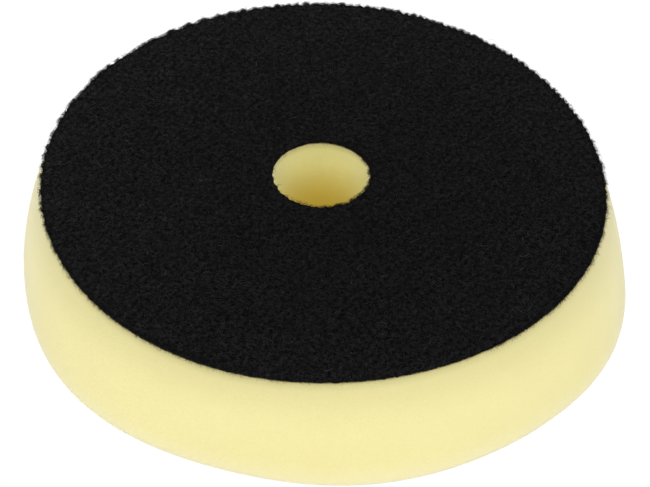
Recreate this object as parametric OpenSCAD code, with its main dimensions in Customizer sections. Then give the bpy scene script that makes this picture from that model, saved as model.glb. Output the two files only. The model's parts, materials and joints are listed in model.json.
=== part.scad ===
// Conical foam polishing pad with a loop-pile fastening back and a centring hole.
// The pad lies on its working face. The origin is on the axis of the centring
// hole, at the working face, and +Z points to the fastening back.

/* [Foam] */
// Widest diameter of the foam, just above the working face
working_d = 165; // [100:1:220]
// Thickness of the foam
foam_h = 30; // [15:1:50]
// Radius that rounds the working face into the side
edge_r = 4; // [1:0.5:7]

/* [Fastening back] */
// Diameter of the fastening back, and of the foam where it meets the back
back_d = 150; // [75:1:200]
// Thickness of the adhesive film between the foam and the cloth
film_t = 0.2; // [0.1:0.05:0.5]
// Thickness of the knitted ground cloth
cloth_t = 0.4; // [0.2:0.1:1.5]
// Height of the loop pile that stands on the cloth
pile_h = 0.9; // [0.5:0.1:3]

/* [Centring hole] */
// Diameter of the hole through the whole pad
hole_d = 26; // [10:1:40]

/* [Hidden] */
$fn = 180;

// The layers of the back stack up from the foam.
film_z = foam_h;
cloth_z = film_z + film_t;
pile_z = cloth_z + cloth_t;
pad_h = pile_z + pile_h;

// The straight side runs from the rim of the back down to the rounded edge,
// and meets the edge's arc as a tangent.
edge_centre = [working_d / 2 - edge_r, edge_r];
back_rim = [back_d / 2, foam_h];
rim_from_edge = back_rim - edge_centre;
side_angle = atan2(rim_from_edge[1], rim_from_edge[0]) - acos(edge_r / norm(rim_from_edge));
edge_end = edge_centre + edge_r * [cos(side_angle), sin(side_angle)];

// How far the tool for the hole reaches past both faces of the pad
bore_overrun = 1;

// The tool that cuts the centring hole, one for every layer
module centring_bore() {
    translate([0, 0, -bore_overrun])
        cylinder(d = hole_d, h = pad_h + 2 * bore_overrun);
}

// One round layer of the back, with the centring hole through it
module back_layer(z, thickness) {
    difference() {
        translate([0, 0, z]) cylinder(d = back_d, h = thickness);
        centring_bore();
    }
}

// Half of the foam's section: a flat working face, a rounded edge and a straight side
module foam_section() {
    polygon([[0, 0], [edge_centre[0], 0], edge_centre, edge_end, back_rim, [0, foam_h]]);
    translate(edge_centre) circle(r = edge_r);
}

// Open-cell foam that polishes with its lower face
module foam_body() {
    color([0.97, 0.92, 0.68])
        difference() {
            rotate_extrude() foam_section();
            centring_bore();
        }
}

// Hot-melt film that bonds the cloth to the foam
module adhesive_film() {
    color([0.86, 0.83, 0.70]) back_layer(film_z, film_t);
}

// Knitted cloth that carries the pile
module backing_cloth() {
    color([0.05, 0.05, 0.055]) back_layer(cloth_z, cloth_t);
}

// Brushed loops that the hooks of a backing plate grip
module loop_pile() {
    color([0.10, 0.10, 0.11]) back_layer(pile_z, pile_h);
}

foam_body();
adhesive_film();
backing_cloth();
loop_pile();
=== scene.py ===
"""Looks of a round foam polishing pad with a brushed loop-pile back.

The pad lies on its working face. Each kind of Layer makes one layer of it, in metres and in the
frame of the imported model: the foam, the adhesive film, the knitted cloth and the loop pile.
"""

import json
import logging
import math
from collections.abc import Mapping
from dataclasses import dataclass
from enum import Enum
from functools import partialmethod
from typing import Any, ClassVar

import bpy
import numpy as np
from mathutils import Matrix, Vector


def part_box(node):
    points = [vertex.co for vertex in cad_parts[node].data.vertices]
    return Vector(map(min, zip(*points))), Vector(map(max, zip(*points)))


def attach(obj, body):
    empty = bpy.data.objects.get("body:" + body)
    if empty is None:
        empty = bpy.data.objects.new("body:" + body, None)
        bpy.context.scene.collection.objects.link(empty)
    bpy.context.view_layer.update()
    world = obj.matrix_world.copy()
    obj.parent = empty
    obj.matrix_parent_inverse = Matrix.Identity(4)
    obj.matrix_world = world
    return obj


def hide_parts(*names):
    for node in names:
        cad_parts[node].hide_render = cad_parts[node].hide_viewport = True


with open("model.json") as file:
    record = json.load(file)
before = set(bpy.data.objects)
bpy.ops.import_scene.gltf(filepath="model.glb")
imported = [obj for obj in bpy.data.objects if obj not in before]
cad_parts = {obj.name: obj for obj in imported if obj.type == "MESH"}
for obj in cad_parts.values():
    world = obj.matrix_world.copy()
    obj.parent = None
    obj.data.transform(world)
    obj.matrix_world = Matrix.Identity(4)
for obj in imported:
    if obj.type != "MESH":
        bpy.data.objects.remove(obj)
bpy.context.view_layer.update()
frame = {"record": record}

MM = 0.001
BAKE_MAP = "OFBake"
FREE = "free"
WELD = 1e-7
FLAT_STEP = 8 * MM
WHITE = (1.0, 1.0, 1.0)
BACKDROP = {"Color": WHITE, "Strength": 1.06}

Colour = tuple[float, float, float]
log = logging.getLogger("pad")


@dataclass(frozen=True)
class Knit:
    """The straight rows in which the loops of the back are knitted."""

    pitch: float = 2.195 * MM
    way: float = 146.5
    start: float = -87.0

    def phase(self, x: Any, y: Any) -> Any:
        """Return how far into the rows a place is, in radians, with a crest at 0.

        Args:
            x: Where it is along x, as an array or a Value.
            y: Where it is along y, likewise.

        Returns:
            The phase, of the same kind.
        """
        way = math.radians(self.way)
        along = x * math.cos(way) + y * math.sin(way)
        return along * (2 * math.pi / self.pitch) + math.radians(self.start)


KNIT = Knit()


# ---- nodes


class Value:
    """What runs out of a node: a number, with Python's operators as Math nodes, or anything else."""

    def __init__(self, bench: "Bench", socket: bpy.types.NodeSocket) -> None:
        """Wrap an output socket of the bench's tree."""
        self.bench = bench
        self.socket = socket

    def _math(self, operation: str, *others: "Value | float", swapped: bool = False) -> "Value":
        """Add one Math node.

        Args:
            operation: The node's operation.
            others: Its inputs besides this number, in order.
            swapped: Whether this number is its last input rather than its first.

        Returns:
            The node's result.
        """
        terms = (*others, self) if swapped else (self, *others)
        node = self.bench.add("ShaderNodeMath", {"operation": operation}, dict(enumerate(terms)))
        return Value(self.bench, node.outputs[0])

    __add__ = partialmethod(_math, "ADD")
    __radd__ = partialmethod(_math, "ADD", swapped=True)
    __sub__ = partialmethod(_math, "SUBTRACT")
    __rsub__ = partialmethod(_math, "SUBTRACT", swapped=True)
    __mul__ = partialmethod(_math, "MULTIPLY")
    __rmul__ = partialmethod(_math, "MULTIPLY", swapped=True)
    __truediv__ = partialmethod(_math, "DIVIDE")
    __rtruediv__ = partialmethod(_math, "DIVIDE", swapped=True)
    __pow__ = partialmethod(_math, "POWER")
    __gt__ = partialmethod(_math, "GREATER_THAN")
    __lt__ = partialmethod(_math, "LESS_THAN")
    sine = partialmethod(_math, "SINE")
    cosine = partialmethod(_math, "COSINE")
    size = partialmethod(_math, "ABSOLUTE")
    bearing = partialmethod(_math, "ARCTAN2")

    def between(self, low: float, high: float) -> "Value":
        """Rise smoothly from 0 where the number is low to 1 where it is high."""
        settings = {"interpolation_type": "SMOOTHSTEP"}
        return self.bench.value("ShaderNodeMapRange", settings, Value=self, From_Min=low, From_Max=high)


class Bench:
    """Adds nodes to one tree, for a material or for Geometry Nodes."""

    def __init__(self, tree: bpy.types.NodeTree, fresh: bool = True) -> None:
        """Take a tree to work on.

        Args:
            tree: The node tree.
            fresh: Whether it is emptied first.
        """
        self.tree = tree
        if fresh:
            tree.nodes.clear()

    def add(
        self,
        kind: str,
        settings: Mapping[str, Any] | None = None,
        sockets: Mapping[str | int, Any] | None = None,
    ) -> bpy.types.Node:
        """Add a node.

        Args:
            kind: The node's type name.
            settings: Its own properties, set before its sockets.
            sockets: Its inputs by name or place, each a value, a Value or a socket.

        Returns:
            The new node.
        """
        node = self.tree.nodes.new(kind)
        for name, setting in (settings or {}).items():
            setattr(node, name, setting)
        for name, given in (sockets or {}).items():
            self.feed(self.inlet(node, name), given)
        return node

    @staticmethod
    def inlet(node: bpy.types.Node, name: str | int) -> bpy.types.NodeSocket:
        """Find an input that is in use under the node's settings.

        Args:
            node: The node.
            name: The input's name or place.

        Returns:
            The input.
        """
        if isinstance(name, int):
            return node.inputs[name]
        return next(s for s in node.inputs if s.name == name and s.enabled)

    def feed(self, inlet: bpy.types.NodeSocket, given: Any) -> None:
        """Link or set one input.

        Args:
            inlet: The input.
            given: A Value, a socket or a plain value.
        """
        if isinstance(given, Value):
            given = given.socket
        if isinstance(given, bpy.types.NodeSocket):
            self.tree.links.new(given, inlet)
        elif inlet.type == "RGBA" and len(given) == 3:
            inlet.default_value = (*given, 1.0)
        else:
            inlet.default_value = given

    def value(self, kind: str, settings: Mapping[str, Any] | None = None, **sockets: Any) -> Value:
        """Add a node and take its first output that is in use.

        Args:
            kind: The node's type name.
            settings: Its own properties.
            sockets: Its inputs, with an underscore for each space in a name.

        Returns:
            The output.
        """
        named = {name.replace("_", " "): given for name, given in sockets.items()}
        node = self.add(kind, settings, named)
        return Value(self, next(socket for socket in node.outputs if socket.enabled))

    def mix(self, factor: "Value | float", low: Any, high: Any) -> Value:
        """Blend two colours, from the first at a factor of 0 to the second at 1."""
        return self.value("ShaderNodeMix", {"data_type": "RGBA"}, Factor=factor, A=low, B=high)

    def vector(self, x: Any, y: Any, z: Any) -> Value:
        """Join three numbers into a vector."""
        return self.value("ShaderNodeCombineXYZ", X=x, Y=y, Z=z)

    def split(self, vector: Value) -> tuple[Value, ...]:
        """Part a vector into its three numbers."""
        node = self.add("ShaderNodeSeparateXYZ", None, {0: vector})
        return tuple(Value(self, socket) for socket in node.outputs)

    def noise(
        self, size: "Value | float", where: Value, detail: float = 2.0, seed: "Value | float" = 0.0
    ) -> Value:
        """Add cloud noise.

        Args:
            size: The width of one cloud, in metres.
            where: The place it is read at.
            detail: How many finer layers it has.
            seed: Which of its patterns to show.

        Returns:
            A number about 0.5.
        """
        settings = {"noise_dimensions": "4D"}
        scale = 1.0 / size
        return self.value("ShaderNodeTexNoise", settings, Vector=where, W=seed, Scale=scale, Detail=detail)


# ---- finishes


class Finish:
    """A material with one Principled shader."""

    name: str

    def pattern(self, bench: Bench) -> dict[str, Any]:
        """Build what varies over the surface, as the Principled shader's inputs by name."""
        raise NotImplementedError

    def material(self) -> bpy.types.Material:
        """Make the material.

        Returns:
            The new material.
        """
        made = bpy.data.materials.new(self.name)
        made.use_nodes = True
        bench = Bench(made.node_tree)
        shader = bench.add("ShaderNodeBsdfPrincipled", None, self.pattern(bench)).outputs[0]
        bench.add("ShaderNodeOutputMaterial", None, {"Surface": shader})
        return made

    @staticmethod
    def place(bench: Bench) -> Value:
        """Return the place on the piece, in metres."""
        return Value(bench, bench.add("ShaderNodeTexCoord").outputs["Object"])

    @staticmethod
    def bump(bench: Bench, height: Value, depth: float) -> Value:
        """Turn a height from 0 to 1 into a normal, with 1 standing the depth over 0, in metres."""
        return bench.value("ShaderNodeBump", Height=height, Distance=depth)


@dataclass(frozen=True)
class RimwardTone:
    """How much lighter the pile is: least near a point off the middle, more towards the rim, and unevenly in
    soft patches.
    """

    middle: tuple[float, float] = (14 * MM, -18 * MM)
    rim_r: float = 75 * MM
    patch: float = 14 * MM
    least: float = 0.63
    towards_rim: float = 0.217
    patchy: float = 0.2

    def rimward_lightness(self, bench: Bench, where: Value) -> Value:
        """Say how light the pile is at a place, up to about 1.

        Args:
            bench: The tree that asks.
            where: The place.

        Returns:
            The share of the full lightness.
        """
        x, y, _ = bench.split(where)
        out = ((x - self.middle[0]) ** 2.0 + (y - self.middle[1]) ** 2.0) / self.rim_r**2
        patches = bench.noise(self.patch, where, 1.0, 7.0) - 0.5
        return out * self.towards_rim + patches * self.patchy + self.least


@dataclass(frozen=True)
class FoamFinish(Finish):
    """Pale yellow open-cell foam, with painted shade under the back and deep in the hole, and painted light
    that makes it paler at the foot.
    """

    top: float
    hole_r: float
    name: str = "foam"
    tint: Colour = (0.93, 0.855, 0.425)
    pore: Colour = (0.86, 0.76, 0.33)
    # The colour of the painted shade on the foam near the back.
    under_back_shade: Colour = (0.62, 0.565, 0.26)
    # Painted light from the white floor's bounce, paler at the foot.
    foot_bounce_light: Colour = (0.93, 0.885, 0.66)
    # Colours of painted shade down the hole, from its mouth to deep inside.
    hole_mouth_shade: Colour = (0.905, 0.85, 0.39)
    hole_depth_shade: Colour = (0.925, 0.725, 0.155)
    cell: float = 0.42 * MM
    cell_depth: float = 0.07 * MM
    cloud: float = 22 * MM
    upper_shade_depth: float = 18 * MM
    upper_shade_share: float = 0.5
    # How deep and how strong the painted shade along the edge under the back is.
    edge_shade_depth: float = 2.4 * MM
    edge_shade_share: float = 0.75
    bounce_light_height: float = 9 * MM
    bounce_light_share: float = 0.5
    lip: float = 2 * MM

    def pattern(self, bench: Bench) -> dict[str, Any]:
        """Build the pores, the clouding, the zones of painted shade and painted light, and the relief.

        Args:
            bench: The bench of the material's tree.

        Returns:
            The Principled shader's inputs by name.
        """
        where = self.place(bench)
        x, y, z = bench.split(where)
        pores = bench.value(
            "ShaderNodeTexVoronoi", {"feature": "F1"}, Vector=where, Scale=1.0 / self.cell, Randomness=1.0
        )
        pits = 1.0 - pores.between(0.05, 0.55)
        grain = bench.noise(self.cell, where, 3.0)
        clouds = bench.noise(self.cloud, where, 3.0)
        # The pits of the pores darken as painted shade; the grain and the clouds are random tone.
        shade = (pits * 0.25 + (grain - 0.5) * 0.75 + (clouds - 0.5) * 0.5).between(-0.5, 0.9)
        # Painted shade darkens the upper side of the foam towards the back.
        upper_shade = z.between(self.top - self.upper_shade_depth, self.top) ** 2.0
        # Painted shade of the pile's overhang in the last millimetres under the back, in the hole's mouth
        # too.
        edge_shade = z.between(self.top - self.edge_shade_depth, self.top)
        # Painted light from the floor's bounce makes the foam paler towards the working face.
        low = 1.0 - z.between(0.0, self.bounce_light_height)
        open_foam = bench.mix(low * self.bounce_light_share, bench.mix(shade, self.tint, self.pore), self.foot_bounce_light)
        outer = bench.mix(upper_shade * self.upper_shade_share, open_foam, self.under_back_shade)
        # Painted shade deep in the hole, strongest on the walls that face along y and weakest on the sides.
        facing_shade = (y / self.hole_r) ** 2.0
        depth = (1.0 - z / self.top).between(0.15, 0.75) * (facing_shade * 0.7 + 0.3)
        in_hole = (x * x + y * y) ** 0.5 < self.hole_r + self.lip
        before_edge_shade = bench.mix(in_hole, outer, bench.mix(depth, self.hole_mouth_shade, self.hole_depth_shade))
        height = grain * 0.6 - pits * 0.7
        return {
            # The painted shade along the edge under the back goes over all the rest.
            "Base Color": bench.mix(edge_shade * self.edge_shade_share, before_edge_shade, self.under_back_shade),
            "Roughness": 0.9,
            "Specular IOR Level": 0.15,
            "Sheen Weight": 0.5,
            "Sheen Roughness": 0.45,
            "Normal": self.bump(bench, height, self.cell_depth),
        }


@dataclass(frozen=True)
class FilmFinish(Finish):
    """Hot-melt adhesive, cloudy and a little glossy, darkened in part as painted shade of the cloth's
    overhang.
    """

    name: str = "adhesive"
    # Dark amber, partly the melt's own colour and partly painted shade of the cloth's overhang along the
    # seam.
    clear: Colour = (0.34, 0.29, 0.12)
    cloudy: Colour = (0.24, 0.20, 0.08)
    blotch: float = 3 * MM
    blotch_depth: float = 0.05 * MM

    def pattern(self, bench: Bench) -> dict[str, Any]:
        """Build the blotches where the melt is thicker.

        Args:
            bench: The bench of the material's tree.

        Returns:
            The Principled shader's inputs by name.
        """
        blotches = bench.noise(self.blotch, self.place(bench), 3.0)
        return {
            "Base Color": bench.mix(blotches.between(0.35, 0.65), self.clear, self.cloudy),
            "Roughness": blotches * 0.3 + 0.35,
            "Specular IOR Level": 0.2,
            "Normal": self.bump(bench, blotches, self.blotch_depth),
        }


@dataclass(frozen=True)
class ClothFinish(Finish):
    """Black polyester ground cloth, knitted in fine ribs, with painted shade in the gaps between them."""

    name: str = "ground_cloth"
    yarn: Colour = (0.008, 0.008, 0.008)
    gap_shade: Colour = (0.003, 0.003, 0.0035)
    rib: float = 0.9 * MM
    rib_depth: float = 0.08 * MM

    def pattern(self, bench: Bench) -> dict[str, Any]:
        """Build the ribs and the stitches across them.

        Args:
            bench: The bench of the material's tree.

        Returns:
            The Principled shader's inputs by name.
        """
        x, y, _ = bench.split(self.place(bench))
        across = (x * (math.pi / self.rib)).sine().size()
        along = (y * (2 * math.pi / self.rib)).sine() * 0.25 + 0.75
        stitch = across * along
        return {
            # The gaps between the ribs darken as painted shade.
            "Base Color": bench.mix(stitch, self.gap_shade, self.yarn),
            "Roughness": 0.85,
            "Specular IOR Level": 0.2,
            "Normal": self.bump(bench, stitch, self.rib_depth),
        }


@dataclass(frozen=True)
class NapFinish(Finish):
    """Black matted nap, seen between the fibres that stand out of it, with painted shade in its low places.
    """

    name: str = "pile"
    # Painted shade that fills the low places of the nap.
    pit_shade: Colour = (0.0004, 0.0004, 0.0004)
    matt: Colour = (0.0212, 0.0212, 0.0212)
    tuft: float = 1.1 * MM
    strand: float = 0.32 * MM
    row: float = 0.012
    depth: float = 0.30 * MM
    rimward_tone: RimwardTone = RimwardTone()

    def pattern(self, bench: Bench) -> dict[str, Any]:
        """Build tufts with tangled strands in them, higher along the crest of each row; the low places take
        painted shade.

        Args:
            bench: The bench of the material's tree.

        Returns:
            The Principled shader's inputs by name.
        """
        where = self.place(bench)
        x, y, _ = bench.split(where)
        tufts = bench.noise(self.tuft, where, 2.0)
        strands = bench.noise(self.strand, where, 2.0, 4.0)
        height = tufts * 0.4 + strands * 0.6 + KNIT.phase(x, y).cosine() * self.row
        # Low places fade to painted shade; the rest is lighter towards the rim.
        height_and_rim_tone = height.between(0.41, 0.63) * self.rimward_tone.rimward_lightness(bench, where)
        return {
            "Base Color": bench.mix(height_and_rim_tone, self.pit_shade, self.matt),
            "Roughness": 0.9,
            "Specular IOR Level": 0.05,
            "Normal": self.bump(bench, height, self.depth),
        }


@dataclass(frozen=True)
class FibreFinish(Finish):
    """Black polyester fibre, its tone by the fibre and darker at the root; its palest tones are partly
    painted glints.
    """

    name: str = "fibre"
    dark: Colour = (0.003, 0.003, 0.003)
    # The palest tone stands partly for painted glints on shiny fibres.
    light: Colour = (0.155, 0.155, 0.155)
    root_shade: float = 0.3

    def pattern(self, bench: Bench) -> dict[str, Any]:
        """Read the tone across the map and the root along it.

        Args:
            bench: The bench of the material's tree.

        Returns:
            The Principled shader's inputs by name.
        """
        tone, along, _ = bench.split(bench.value("ShaderNodeUVMap", {"uv_map": BAKE_MAP}))
        lit = along.between(0.0, 0.35) * (1.0 - self.root_shade) + self.root_shade
        return {
            "Base Color": bench.mix(tone * lit, self.dark, self.light),
            "Roughness": 0.75,
            "Specular IOR Level": 0.1,
        }


@dataclass(frozen=True)
class FloorFinish(Finish):
    """A plain white sheet, which the camera sees lit all through."""

    name: str = "floor"
    white: Colour = (0.90, 0.90, 0.90)

    def pattern(self, bench: Bench) -> dict[str, Any]:
        """Give the sheet its plain colour."""
        return {"Base Color": self.white, "Roughness": 0.9, "Specular IOR Level": 0.0}

    def material(self) -> bpy.types.Material:
        """Make the sheet's material, with an even white for the camera alone.

        Returns:
            The new material.
        """
        made = super().material()
        bench = Bench(made.node_tree, fresh=False)
        output = made.node_tree.nodes["Material Output"]
        plain = output.inputs["Surface"].links[0].from_socket
        seen = bench.add("ShaderNodeLightPath").outputs["Is Camera Ray"]
        glow = bench.value("ShaderNodeEmission", **BACKDROP)
        shown = bench.add("ShaderNodeMixShader", None, {0: seen, 1: plain, 2: glow}).outputs[0]
        bench.feed(output.inputs["Surface"], shown)
        return made


# ---- shapes


class Outline:
    """Half of a ring's section, drawn as lines and arcs of radius against height."""

    def __init__(self, r: float, z: float) -> None:
        """Start at a distance from the pad's axis and a height over the working face."""
        self.points: list[tuple[float, float]] = [(r, z)]

    def line(self, r: float, z: float, step: float, crown: float = 0.0) -> "Outline":
        """Draw a stretch, straight or bulging to the right of its run.

        Args:
            r: Its end's distance from the axis.
            z: Its end's height.
            step: The longest piece it is cut into.
            crown: How far its middle stands out.

        Returns:
            The outline.
        """
        r0, z0 = self.points[-1]
        run, rise = r - r0, z - z0
        length = max(math.hypot(run, rise), WELD)
        cuts = math.ceil(length / step)
        for i in range(1, cuts + 1):
            bulge = crown * 4 * (i / cuts) * (1 - i / cuts) / length
            self.points.append((r0 + run * i / cuts + rise * bulge, z0 + rise * i / cuts - run * bulge))
        return self

    def arc(self, r: float, z: float, radius: float, start: float, end: float, step: float) -> "Outline":
        """Draw a round stretch.

        Args:
            r: The centre's distance from the axis.
            z: The centre's height.
            radius: The arc's radius.
            start: Its first angle in degrees, from straight out towards up.
            end: Its last angle.
            step: The longest piece it is cut into.

        Returns:
            The outline.
        """
        first, last = math.radians(start), math.radians(end)
        cuts = max(2, math.ceil(abs(last - first) * radius / step))
        for i in range(cuts + 1):
            angle = first + (last - first) * i / cuts
            self.points.append((r + radius * math.cos(angle), z + radius * math.sin(angle)))
        return self

    def turned(self, turns: int) -> tuple[bpy.types.Object, np.ndarray]:
        """Turn the closed outline about the pad's axis.

        Args:
            turns: How many steps the full turn has.

        Returns:
            A closed ring, whose faces point outwards if the outline runs counterclockwise, and its
            points, one row each.
        """
        following = self.points[1:] + self.points[:1]
        section = np.array([p for p, q in zip(self.points, following) if math.dist(p, q) > WELD])
        angles = np.linspace(0.0, 2 * math.pi, turns, endpoint=False)
        rows = len(section)
        points = np.empty((turns, rows, 3))
        points[..., 0] = np.cos(angles)[:, None] * section[None, :, 0]
        points[..., 1] = np.sin(angles)[:, None] * section[None, :, 0]
        points[..., 2] = section[None, :, 1]
        turn, row = np.meshgrid(np.arange(turns), np.arange(rows), indexing="ij")
        next_turn, next_row = (turn + 1) % turns, (row + 1) % rows
        ring = ((turn, row), (next_turn, row), (next_turn, next_row), (turn, next_row))
        corners = np.stack([step * rows + place for step, place in ring], axis=-1)
        mesh = bpy.data.meshes.new("smooth")
        points = points.reshape(-1, 3).astype(np.float32)
        mesh.from_pydata(points.tolist(), [], corners.reshape(-1, 4).tolist())
        mesh.shade_smooth()
        piece = bpy.data.objects.new("smooth", mesh)
        bpy.context.scene.collection.objects.link(piece)
        return piece, points


class Recipe:
    """A Geometry Nodes tree with named inputs."""

    STREAM_STEP = 101.0

    def __init__(self, name: str, inputs: Mapping[str, Any]) -> None:
        """Make the tree and its inputs.

        Args:
            name: The tree's name.
            inputs: Each input's name and default; a number, a whole number or None for a material.
        """
        self.tree = bpy.data.node_groups.new(name, "GeometryNodeTree")
        self.bench = Bench(self.tree)
        face = self.tree.interface
        face.new_socket("Geometry", in_out="INPUT", socket_type="NodeSocketGeometry")
        face.new_socket("Geometry", in_out="OUTPUT", socket_type="NodeSocketGeometry")
        self.keys: dict[str, str] = {}
        for label, default in inputs.items():
            self.keys[label] = self._new_input(label, default)
        self.inlets = self.bench.add("NodeGroupInput")

    def _new_input(self, label: str, default: Any) -> str:
        """Add one named input.

        Args:
            label: Its name.
            default: Its default.

        Returns:
            The input's identifier.
        """
        kinds = {int: "NodeSocketInt", float: "NodeSocketFloat", type(None): "NodeSocketMaterial"}
        kind = kinds[type(default)]
        made = self.tree.interface.new_socket(label, in_out="INPUT", socket_type=kind)
        if default is not None:
            made.default_value = default
        return made.identifier

    def given(self, label: str) -> Value:
        """Return a named input."""
        return Value(self.bench, self.inlets.outputs[label])

    def stored(self, label: str, kind: str = "FLOAT") -> Value:
        """Read a named attribute of the given data type."""
        return self.bench.value("GeometryNodeInputNamedAttribute", {"data_type": kind}, Name=label)

    def store(
        self,
        geometry: Value,
        label: str,
        given: Any,
        kind: str = "FLOAT",
        domain: str = "POINT",
    ) -> Value:
        """Write a named attribute.

        Args:
            geometry: What it is written on.
            label: The attribute's name.
            given: Its value.
            kind: Its data type.
            domain: What it is written for, such as each point.

        Returns:
            The geometry with the attribute.
        """
        settings = {"data_type": kind, "domain": domain}
        return self.bench.value(
            "GeometryNodeStoreNamedAttribute", settings, Geometry=geometry, Name=label, Value=given
        )

    def random(self, low: float, high: float, stream: int) -> Value:
        """Draw a number for each element.

        Args:
            low: The least it can be.
            high: The most it can be.
            stream: Which draw it is, so that no two draws agree.

        Returns:
            The number.
        """
        seed = self.given("Seed") + stream * self.STREAM_STEP
        settings = {"data_type": "FLOAT"}
        return self.bench.value("FunctionNodeRandomValue", settings, Min=low, Max=high, Seed=seed)

    def end(self, geometry: Value) -> None:
        """Finish the tree with real geometry that wears its material.

        Args:
            geometry: What the tree made.
        """
        real = self.bench.value("GeometryNodeRealizeInstances", Geometry=geometry)
        dressed = self.bench.value("GeometryNodeSetMaterial", Geometry=real, Material=self.given("Material"))
        self.bench.add("NodeGroupOutput", None, {"Geometry": dressed})

    def applied(
        self, source: bpy.types.Object, name: str, settings: Mapping[str, Any]
    ) -> bpy.types.Object:
        """Run the tree on a piece and keep the result as a plain mesh.

        Args:
            source: The piece it starts from, which stays as it was.
            name: The new piece's name.
            settings: The named inputs that differ from their defaults.

        Returns:
            The new piece.
        """
        modifier = source.modifiers.new(self.tree.name, "NODES")
        modifier.node_group = self.tree
        for label, setting in settings.items():
            modifier[self.keys[label]] = setting
        graph = bpy.context.evaluated_depsgraph_get()
        mesh = bpy.data.meshes.new_from_object(source.evaluated_get(graph))
        source.modifiers.remove(modifier)
        mesh.name = name
        for label in [a.name for a in mesh.attributes if a.name.startswith("fibre_") or a.name == FREE]:
            mesh.attributes.remove(mesh.attributes[label])
        piece = bpy.data.objects.new(name, mesh)
        bpy.context.scene.collection.objects.link(piece)
        return piece


def roughening() -> Recipe:
    """Make the tree that gives a smooth turned piece its uneven surface.

    Returns:
        The tree. It moves each free point along its normal, by clouds of two sizes and by rows.
    """
    recipe = Recipe(
        "roughening",
        {
            "Broad Size": 20 * MM,
            "Broad Depth": 0.0,
            "Fine Size": 1 * MM,
            "Fine Depth": 0.0,
            "Row Depth": 0.0,
            "Seed": 0,
            "Material": None,
        },
    )
    bench, given = recipe.bench, recipe.given
    where = bench.value("GeometryNodeInputPosition")
    normal = bench.value("GeometryNodeInputNormal")
    x, y, _ = bench.split(where)
    broad = (bench.noise(given("Broad Size"), where, 2.0, given("Seed")) - 0.5) * given("Broad Depth")
    fine = (bench.noise(given("Fine Size"), where, 2.0, given("Seed") + 7.0) - 0.5) * given("Fine Depth")
    rows = KNIT.phase(x, y).cosine() * given("Row Depth")
    height = (broad * 2.0 + fine * 2.0 + rows) * recipe.stored(FREE)
    offset = bench.value("ShaderNodeVectorMath", {"operation": "SCALE"}, Vector=normal, Scale=height)
    recipe.end(bench.value("GeometryNodeSetPosition", Geometry=given("Geometry"), Offset=offset))
    return recipe


# ---- the pad


@dataclass(frozen=True)
class PadSizes:
    """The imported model's own sizes, in metres."""

    foam_top: float
    film_top: float
    cloth_top: float
    pile_top: float
    back_r: float
    working_r: float
    hole_r: float

    @classmethod
    def from_frame(cls) -> "PadSizes":
        """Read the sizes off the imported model.

        Returns:
            The sizes.
        """
        bore = next(m for m in frame["record"]["mounts"] if m["name"] == "centring_hole")
        return cls(
            foam_top=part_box("foam_body")[1][2],
            film_top=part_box("adhesive_film")[1][2],
            cloth_top=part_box("backing_cloth")[1][2],
            pile_top=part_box("loop_pile")[1][2],
            back_r=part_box("backing_cloth")[1][0],
            working_r=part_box("foam_body")[1][0],
            hole_r=bore["dims"]["r_mm"] * MM,
        )


@dataclass(frozen=True)
class Wave:
    """One way in which a cut edge is out of round."""

    lobes: int
    size: float
    towards: float

    def at(self, bearing: np.ndarray) -> np.ndarray:
        """Return how far the edge stands out at each bearing, in metres, for bearings in radians."""
        return self.size * np.cos(self.lobes * (bearing - math.radians(self.towards)))


@dataclass(frozen=True)
class CutEdges:
    """How the cut edges run: the rims are out of round, and the hole is round but off the middle."""

    back: tuple[Wave, ...] = (
        Wave(1, 0.25 * MM, 66),
        Wave(2, 0.15 * MM, 12),
        Wave(3, 0.25 * MM, -19),
        Wave(4, 0.20 * MM, -23),
    )
    working: tuple[Wave, ...] = (
        Wave(1, 0.55 * MM, -7),
        Wave(2, 0.60 * MM, -43),
        Wave(3, 0.45 * MM, -31),
        Wave(4, 0.65 * MM, -35),
        Wave(6, 0.70 * MM, -20),
    )
    hole_drift: tuple[float, float] = (-0.45 * MM, 0.05 * MM)
    hole_ease: float = 0.2 * MM
    grip_start: float = 0.4
    grip_width: float = 0.5

    def moved(self, points: np.ndarray, height: float) -> np.ndarray:
        """Push points out from the axis as the cut edges run.

        Args:
            points: Points of a round piece, one row each.
            height: Height of the glued face over the working face.

        Returns:
            The moved points. The waves grow towards the rim, and the drift towards the hole.
        """
        bearing = np.arctan2(points[:, 1], points[:, 0])
        r = np.hypot(points[:, 0], points[:, 1])
        outer = r.max()
        up = np.clip(points[:, 2] / height, 0.0, 1.0)
        back = sum(wave.at(bearing) for wave in self.back)
        working = sum(wave.at(bearing) for wave in self.working)
        grip = np.clip((r - outer * self.grip_start) / (outer * self.grip_width), 0.0, 1.0)
        grown = r + grip * (up * back + (1.0 - up) * working) + (1.0 - grip) * self.hole_ease
        moved = points.copy()
        moved[:, :2] *= (grown / r)[:, None]
        moved[:, :2] += (1.0 - grip)[:, None] * np.array(self.hole_drift)
        return moved


CUT_EDGES = CutEdges()


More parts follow.
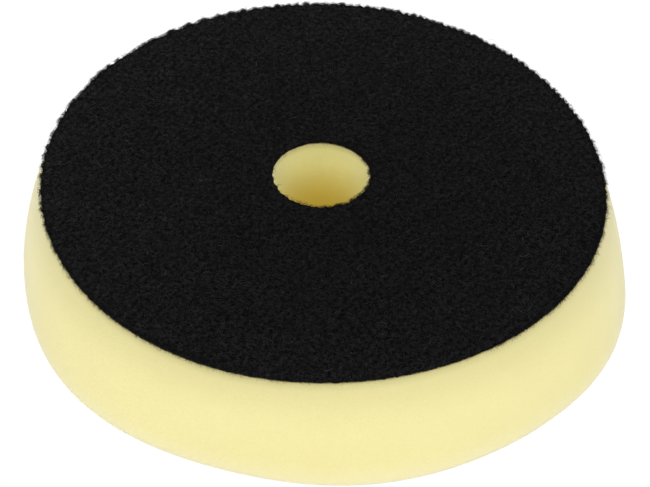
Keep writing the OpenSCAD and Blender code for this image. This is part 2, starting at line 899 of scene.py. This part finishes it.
@dataclass
class Layer:
    """One layer of the pad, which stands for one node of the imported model."""

    sizes: PadSizes
    roughening: Recipe
    node: str = ""
    slot: str = ""

    def roughened(
        self,
        smooth: bpy.types.Object,
        name: str,
        points: np.ndarray,
        free: np.ndarray,
        settings: Mapping[str, Any],
    ) -> bpy.types.Object:
        """Turn a smooth piece into its real, uneven one.

        Args:
            smooth: The smooth turned piece, which is used up.
            name: The new piece's name.
            points: Where the smooth piece's points go, one row each.
            free: How free each point is to leave the smooth shape, from 0 to 1.
            settings: The roughening's named inputs.

        Returns:
            The uneven piece.
        """
        mesh = smooth.data
        loose = mesh.attributes.new(FREE, "FLOAT", "POINT")
        loose.data.foreach_set("value", free.astype(np.float32))
        mesh.vertices.foreach_set("co", CUT_EDGES.moved(points, self.sizes.foam_top).ravel())
        piece = self.roughening.applied(smooth, name, settings)
        bpy.data.objects.remove(smooth)
        return piece

    def settle(self, piece: bpy.types.Object) -> bpy.types.Object:
        """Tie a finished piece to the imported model.

        Args:
            piece: The piece.

        Returns:
            The same piece.
        """
        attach(piece, "root")
        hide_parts(self.node)
        triangles = sum(len(face.vertices) - 2 for face in piece.data.polygons)
        log.info("%s: %d triangles, stands for %s", piece.name, triangles, self.node)
        return piece


@dataclass
class FoamBody(Layer):
    """The conical foam, crowned at its side and cut a little out of round."""

    node: str = "foam_body"
    slot: str = "foam"
    fullness: float = 0.85 * MM
    crown: float = 0.95 * MM
    edge_r: float = 3.2 * MM
    rim_r: float = 0.5 * MM
    lip_r: float = 0.5 * MM
    held_depth: float = 1.5 * MM
    side_step: float = 0.6 * MM
    face_step: float = 0.9 * MM
    glued_step: float = 6 * MM
    turns: int = 720

    def outline(self) -> Outline:
        """Draw the section, from the hole's lower lip out along the working face and up the side.

        Returns:
            The outline.
        """
        s = self.sizes
        fine = self.side_step
        edge = (s.working_r + self.fullness - self.edge_r, self.edge_r)
        rim = (s.back_r + self.rim_r / 2, s.foam_top - self.rim_r)
        reach = math.hypot(rim[0] - edge[0], rim[1] - edge[1])
        straight = math.atan2(rim[1] - edge[1], rim[0] - edge[0]) - math.acos(self.edge_r / reach)
        turn = math.degrees(straight - math.atan(4 * self.crown / reach))
        outline = Outline(s.hole_r + self.lip_r, 0.0).line(edge[0], 0.0, self.face_step)
        outline.arc(*edge, self.edge_r, -90.0, turn, fine).line(*rim, fine, self.crown)
        outline.line(s.back_r - self.rim_r / 2, s.foam_top, self.rim_r / 2)
        outline.line(s.hole_r, s.foam_top, self.glued_step).line(s.hole_r, self.lip_r, fine)
        return outline.arc(s.hole_r + self.lip_r, self.lip_r, self.lip_r, 180.0, 270.0, self.lip_r / 2)

    def build(self) -> bpy.types.Object:
        """Make the foam.

        Returns:
            The foam.
        """
        smooth, points = self.outline().turned(self.turns)
        top = self.sizes.foam_top
        free = np.clip((top - points[:, 2]) / self.held_depth, 0.0, 1.0)
        settings = {
            "Broad Size": 24 * MM,
            "Broad Depth": 0.20 * MM,
            "Fine Size": 1.3 * MM,
            "Fine Depth": 0.05 * MM,
            "Seed": 11,
            "Material": FoamFinish(top, self.sizes.hole_r).material(),
        }
        foam = self.settle(self.roughened(smooth, "foam", points, free, settings))
        return foam


@dataclass
class AdhesiveFilm(Layer):
    """The film between foam and cloth, which squeezes out unevenly at its edges."""

    finish: FilmFinish = FilmFinish()
    node: str = "adhesive_film"
    slot: str = "adhesive"
    bead: float = 0.08 * MM
    turns: int = 900

    def build(self) -> bpy.types.Object:
        """Make the film.

        Returns:
            The film.
        """
        s = self.sizes
        low, high = s.foam_top, s.film_top
        middle = (low + high) / 2
        outline = Outline(s.hole_r, low).line(s.back_r, low, FLAT_STEP)
        outline.line(s.back_r + self.bead, middle, self.bead * 2).line(s.back_r, high, self.bead * 2)
        outline.line(s.hole_r, high, FLAT_STEP).line(s.hole_r - self.bead / 2, middle, self.bead * 2)
        smooth, points = outline.turned(self.turns)
        free = (np.abs(points[:, 2] - middle) < self.bead / 4).astype(float)
        settings = {
            "Fine Size": 1.6 * MM,
            "Fine Depth": 0.12 * MM,
            "Seed": 5,
            "Material": self.finish.material(),
        }
        return self.settle(self.roughened(smooth, "film", points, free, settings))


@dataclass
class BackingCloth(Layer):
    """The knitted ground cloth, with cut yarn ends round its two edges."""

    finish: ClothFinish = ClothFinish()
    node: str = "backing_cloth"
    slot: str = "ground_cloth"
    yarn_ends: int = 420
    fray: float = 0.12 * MM

    def build(self, film: bpy.types.Object) -> bpy.types.Object:
        """Make the cloth.

        Args:
            film: The film that it lies on; not used.

        Returns:
            The cloth.
        """
        s = self.sizes
        low, high = s.film_top, s.cloth_top
        middle, half = (low + high) / 2, (high - low) / 2
        outline = Outline(s.hole_r + half, low).line(s.back_r - half, low, FLAT_STEP)
        outline.arc(s.back_r - half, middle, half, -90.0, 90.0, half)
        outline.line(s.hole_r + half, high, FLAT_STEP)
        outline.arc(s.hole_r + half, middle, half, 90.0, 270.0, half)
        smooth, points = outline.turned(self.yarn_ends * 4)
        r = np.hypot(points[:, 0], points[:, 1])
        edge = half * 0.9
        ends = np.abs(np.sin(np.arctan2(points[:, 1], points[:, 0]) * self.yarn_ends / 2)) - 0.5
        outer, inner = r > s.back_r - edge, r < s.hole_r + edge
        r += self.fray * ends * (outer.astype(float) - inner.astype(float))
        points[:, :2] *= (r / np.hypot(points[:, 0], points[:, 1]))[:, None]
        settings = {
            "Fine Size": 1.3 * MM,
            "Fine Depth": 0.50 * MM,
            "Seed": 9,
            "Material": self.finish.material(),
        }
        free = (outer | inner).astype(float)
        cloth = self.settle(self.roughened(smooth, "cloth", points, free, settings))
        return cloth


class FibreKind(Enum):
    """What a fibre of the pile is like: how it lies and what it is for."""

    MATTED = "matted"
    LOOPED = "looped"
    STRAY = "stray"
    FRINGE = "fringe"


@dataclass(frozen=True)
class Fibre:
    """The run of one kind of fibre. SAME names the sizes that the tree takes as they are."""

    SAME: ClassVar[tuple[str, ...]] = (
        "Reach", "Rise", "Curl", "Width", "Sweep", "Light", "Band", "Outward", "Lean", "Tuft", "Rows", "Cuts",
    )
    kind: FibreKind
    per_mm2: float
    reach: float
    rise: float
    curl: float
    width: float
    sweep: float
    light: float
    band: float = 100 * MM
    outward: float = 0.0
    lean: float = 0.4
    tuft: float = 2.4 * MM
    rows: float = 0.13
    cuts: int = 5
    pieces: int = 1

    def settings(self, seed: int, material: "bpy.types.Material | None") -> dict[str, Any]:
        """Name the fibre's sizes for the tree, with the piece's own seed and what it wears."""
        same = {label: getattr(self, label.lower()) for label in self.SAME}
        return {"Density": self.per_mm2 / MM**2, **same, "Seed": seed, "Material": material}


@dataclass
class LoopPile(Layer):
    """The brushed loops: a matted ground with single fibres standing out of it.

    SPREADS says between which shares of its size each fibre's own measure lies.
    """

    SPREADS: ClassVar[Mapping[str, tuple[float, float]]] = {
        "Curl": (-1.0, 1.0),
        "Reach": (0.45, 1.35),
        "Rise": (0.35, 1.25),
        "Sweep": (0.75, 1.1),
    }
    nap: NapFinish = NapFinish()
    fibre: FibreFinish = FibreFinish()
    node: str = "loop_pile"
    slot: str = "pile"
    ground_share: float = 0.45
    field_share: float = 0.4
    edge_band: float = 1.5 * MM
    edge_share: float = 0.72
    edge_push: float = 0.08 * MM
    edge_rise: float = 0.22 * MM
    hole_share: float = 0.4
    least_up: float = -0.4
    sunk: float = 0.05 * MM
    tone_power: float = 3.0
    strip: float = 0.02
    margin: float = 0.01
    first_seed: int = 21
    turns: int = 800
    step: float = 0.65 * MM
    fibres: tuple[Fibre, ...] = (
        Fibre(FibreKind.MATTED, 0.50, 1.4 * MM, 0.40 * MM, 2.4, 0.095 * MM, 1.0, 0.27, cuts=4, pieces=3),
        Fibre(FibreKind.LOOPED, 0.42, 1.1 * MM, 0.70 * MM, 2.8, 0.085 * MM, 0.8, 0.44, pieces=2),
        # The strays' high Light makes them partly painted glints.
        Fibre(FibreKind.STRAY, 0.05, 1.9 * MM, 0.70 * MM, 2.6, 0.075 * MM, 0.75, 0.95),
        Fibre(
            FibreKind.FRINGE, 14.5, 1.00 * MM, 0.52 * MM, 1.7, 0.060 * MM, 1.38, 0.15,
            band=0.4 * MM, outward=1.4, lean=1.1, tuft=1.4 * MM, cuts=4, pieces=2,
        ),
    )

    def ground(self) -> bpy.types.Object:
        """Make the matted ground, with the rows of the knit showing through.

        Returns:
            The ground.
        """
        s = self.sizes
        low = s.cloth_top
        high = low + (s.pile_top - low) * self.ground_share
        half = (high - low) * 0.5
        outline = Outline(s.hole_r, low).line(s.back_r, low, FLAT_STEP).line(s.back_r, high - half, half)
        outline.arc(s.back_r - half, high - half, half, 0.0, 90.0, half / 2)
        outline.line(s.hole_r + half, high, self.step)
        outline.arc(s.hole_r + half, high - half, half, 90.0, 180.0, half / 2)
        smooth, points = outline.turned(self.turns)
        r = np.hypot(points[:, 0], points[:, 1])
        to_edge = np.minimum(s.back_r - r, r - s.hole_r)
        near_edge = np.clip(1.0 - to_edge / self.edge_band, 0.0, 1.0)
        loose = self.field_share + (self.edge_share - self.field_share) * near_edge
        free = loose * (points[:, 2] > low + half / 2)
        crests = np.cos(KNIT.phase(points[:, 0], points[:, 1])) * near_edge
        crests = crests * (points[:, 2] - low) / (high - low)
        outer = r > (s.back_r + s.hole_r) / 2
        crests *= np.where(outer, 1.0, self.hole_share)
        points[:, :2] *= (1.0 + self.edge_push * crests * np.where(outer, 1.0, -1.0) / r)[:, None]
        points[:, 2] += self.edge_rise * crests
        settings = {
            "Broad Size": 2.4 * MM,
            "Broad Depth": 0.75 * MM,
            "Fine Size": 0.9 * MM,
            "Fine Depth": 0.45 * MM,
            "Row Depth": 0.06 * MM,
            "Seed": 3,
            "Material": self.nap.material(),
        }
        return self.roughened(smooth, "nap", points, free, settings)

    def strewing(self) -> Recipe:
        """Make the tree that strews fibres over the ground, each with its own bend and tone.

        Returns:
            The tree.
        """
        recipe = Recipe("strewing", self.fibres[0].settings(0, None))
        bench, given, s = recipe.bench, recipe.given, self.sizes
        where = bench.value("GeometryNodeInputPosition")
        x, y, _ = bench.split(where)
        r = (x * x + y * y) ** 0.5
        _, _, up = bench.split(bench.value("GeometryNodeInputNormal"))
        near_edge = (r > s.back_r - given("Band")) + (r < s.hole_r + given("Band"))
        tufted = bench.noise(given("Tuft"), where, 1.0, given("Seed")).between(0.38, 0.58) * 1.6
        tufted = tufted * (KNIT.phase(x, y).cosine() * given("Rows") + 1.0)
        strewn = bench.value(
            "GeometryNodeDistributePointsOnFaces",
            {"distribute_method": "RANDOM"},
            Mesh=given("Geometry"),
            Selection=near_edge * (up > self.least_up) > 0.5,
            Density=given("Density") * tufted,
            Seed=given("Seed"),
        )
        side = (r > (s.back_r + s.hole_r) / 2) * 2.0 - 1.0
        pull = given("Outward") * side / r
        any_way = recipe.random(0.0, 2 * math.pi, 1)
        rimward_lightness = self.nap.rimward_tone.rimward_lightness(bench, where)
        heading = (any_way.sine() + pull * y).bearing(any_way.cosine() + pull * x - given("Lean"))
        traits = {"fibre_heading": heading}
        for stream, (label, (low, high)) in enumerate(self.SPREADS.items(), 2):
            traits[f"fibre_{label.lower()}"] = recipe.random(low, high, stream) * given(label)
        tone = recipe.random(0.0, 1.0, 2 + len(self.SPREADS)) ** self.tone_power
        traits["fibre_tone"] = tone * given("Light") * rimward_lightness
        points = recipe.store(strewn, "fibre_root", where, "FLOAT_VECTOR")
        for label, trait in traits.items():
            points = recipe.store(points, label, trait)
        along = bench.value("GeometryNodeSplineParameter")
        line = bench.value("GeometryNodeCurvePrimitiveLine", Start=(0, 0, 0), End=(0, 0, 1 * MM))
        cut = bench.value("GeometryNodeResampleCurve", Curve=line, Count=given("Cuts"))
        planted = bench.value("GeometryNodeInstanceOnPoints", Points=points, Instance=cut)
        curves = bench.value("GeometryNodeRealizeInstances", Geometry=planted)
        curves = recipe.store(curves, "fibre_along", along)
        t = recipe.stored("fibre_along")
        trait = {label: recipe.stored(label) for label in traits}
        way = trait["fibre_heading"] + trait["fibre_curl"] * t
        run = trait["fibre_reach"] * t
        lift = trait["fibre_rise"] * (t * trait["fibre_sweep"] * math.pi).sine() - self.sunk
        bent = bench.value(
            "GeometryNodeSetPosition",
            Geometry=curves,
            Position=recipe.stored("fibre_root", "FLOAT_VECTOR"),
            Offset=bench.vector(run * way.cosine(), run * way.sine(), lift),
        )
        profile = bench.value("GeometryNodeCurvePrimitiveCircle", Resolution=3, Radius=1.0)
        tubes = bench.value(
            "GeometryNodeCurveToMesh",
            Curve=bent,
            Profile_Curve=recipe.store(profile, "fibre_round", along),
            Scale=given("Width") * 0.5 * (1.0 - t * t * 0.5),
            Fill_Caps=True,
        )
        toned = trait["fibre_tone"] * (1.0 - self.strip - self.margin)
        toned += recipe.stored("fibre_round") * self.strip
        uv = bench.vector(toned, t * (1.0 - 2 * self.margin) + self.margin, 0.0)
        recipe.end(recipe.store(tubes, BAKE_MAP, uv, "FLOAT2", "CORNER"))
        return recipe

    def build(self) -> None:
        """Make the ground and every kind of fibre on it."""
        ground = self.ground()
        strewing = self.strewing()
        dressed = self.fibre.material()
        runs = [(fibre, number) for fibre in self.fibres for number in range(1, fibre.pieces + 1)]
        for seed, (fibre, number) in enumerate(runs, self.first_seed):
            name = f"{fibre.kind.value}_fibres_{number}"
            self.settle(strewing.applied(ground, name, fibre.settings(seed, dressed)))
        self.settle(ground)


# ---- the studio


@dataclass(frozen=True)
class SoftBox:
    """A square soft light that points at the pad."""

    name: str
    place: tuple[float, float, float]
    side: float
    power: float

    def hang(self, target: Vector) -> None:
        """Put the light in the scene.

        Args:
            target: What it points at.
        """
        lamp = bpy.data.lights.new(self.name, "AREA")
        lamp.shape = "SQUARE"
        lamp.size = self.side
        lamp.energy = self.power
        light = bpy.data.objects.new(self.name, lamp)
        light.location = self.place
        light.rotation_euler = (target - Vector(self.place)).to_track_quat("-Z", "Y").to_euler()
        bpy.context.scene.collection.objects.link(light)


@dataclass
class Studio:
    """The floor, the lights and the camera."""

    top: float
    floor: FloorFinish = FloorFinish()
    floor_r: float = 6.0
    floor_sides: int = 64
    sky: float = 0.39
    distance: float = 505.5 * MM
    height_angle: float = 41.73
    look_down: float = 43.89
    look_right: float = 0.16
    roll: float = 1.86
    lens: float = 104.7
    sensor: float = 36.0
    nearest: float = 10 * MM
    soft_boxes: tuple[SoftBox, ...] = (
        SoftBox("key_light", (-0.10, -1.4, 1.0), 1.0, 10.9),
        SoftBox("top_light", (0.2, 0.1, 1.6), 1.2, 3.5),
        SoftBox("left_light", (-1.1, 0.0, 1.5), 0.9, 7.9),
        SoftBox("right_light", (1.1, 0.0, 1.5), 0.9, 7.7),
    )

    def lay_floor(self) -> None:
        """Lay a round plain floor under the pad."""
        mesh = bpy.data.meshes.new("floor")
        turns = [2 * math.pi * i / self.floor_sides for i in range(self.floor_sides)]
        rim = [(self.floor_r * math.cos(turn), self.floor_r * math.sin(turn), 0.0) for turn in turns]
        mesh.from_pydata(rim, [], [tuple(range(self.floor_sides))])
        mesh.materials.append(self.floor.material())
        floor = bpy.data.objects.new("floor", mesh)
        bpy.context.scene.collection.objects.link(floor)

    def light(self) -> None:
        """Hang the lights and give the room its even white."""
        world = bpy.data.worlds.new("white_room")
        world.use_nodes = True
        bench = Bench(world.node_tree)
        sky = bench.value("ShaderNodeBackground", Color=WHITE, Strength=self.sky)
        white = bench.value("ShaderNodeBackground", **BACKDROP)
        seen = bench.add("ShaderNodeLightPath").outputs["Is Camera Ray"]
        both = bench.add("ShaderNodeMixShader", None, {0: seen, 1: sky, 2: white})
        bench.add("ShaderNodeOutputWorld", None, {"Surface": both.outputs[0]})
        bpy.context.scene.world = world
        for box in self.soft_boxes:
            box.hang(Vector((0.0, 0.0, self.top)))

    def set_camera(self) -> None:
        """Stand the camera in front of the pad and above it."""
        high, down, side = (math.radians(a) for a in (self.height_angle, self.look_down, self.look_right))
        place = Vector((0.0, -self.distance * math.cos(high), self.top + self.distance * math.sin(high)))
        ahead = Vector((math.sin(side) * math.cos(down), math.cos(side) * math.cos(down), -math.sin(down)))
        right = Vector((math.cos(side), -math.sin(side), 0.0))
        above = right.cross(ahead)
        stand = Matrix((right, above, -ahead)).transposed().to_4x4()
        data = bpy.data.cameras.new("camera")
        data.sensor_width = self.sensor
        data.lens = self.lens
        data.clip_start = self.nearest
        camera = bpy.data.objects.new("camera", data)
        rolled = stand @ Matrix.Rotation(math.radians(self.roll), 4, "Z")
        camera.matrix_world = Matrix.Translation(place) @ rolled
        bpy.context.scene.collection.objects.link(camera)
        bpy.context.scene.camera = camera

    def build(self) -> None:
        """Set up the whole studio."""
        self.set_camera()
        self.lay_floor()
        self.light()
        bpy.context.scene.view_settings.view_transform = "Standard"


def main() -> None:
    """Build the pad from the foam up, and the studio round it."""
    logging.basicConfig(level=logging.INFO, format="%(name)s: %(message)s")
    sizes = PadSizes.from_frame()
    Studio(sizes.pile_top).build()
    uneven = roughening()
    FoamBody(sizes, uneven).build()
    film = AdhesiveFilm(sizes, uneven).build()
    BackingCloth(sizes, uneven).build(film)
    LoopPile(sizes, uneven).build()


if __name__ == "__main__":
    main()
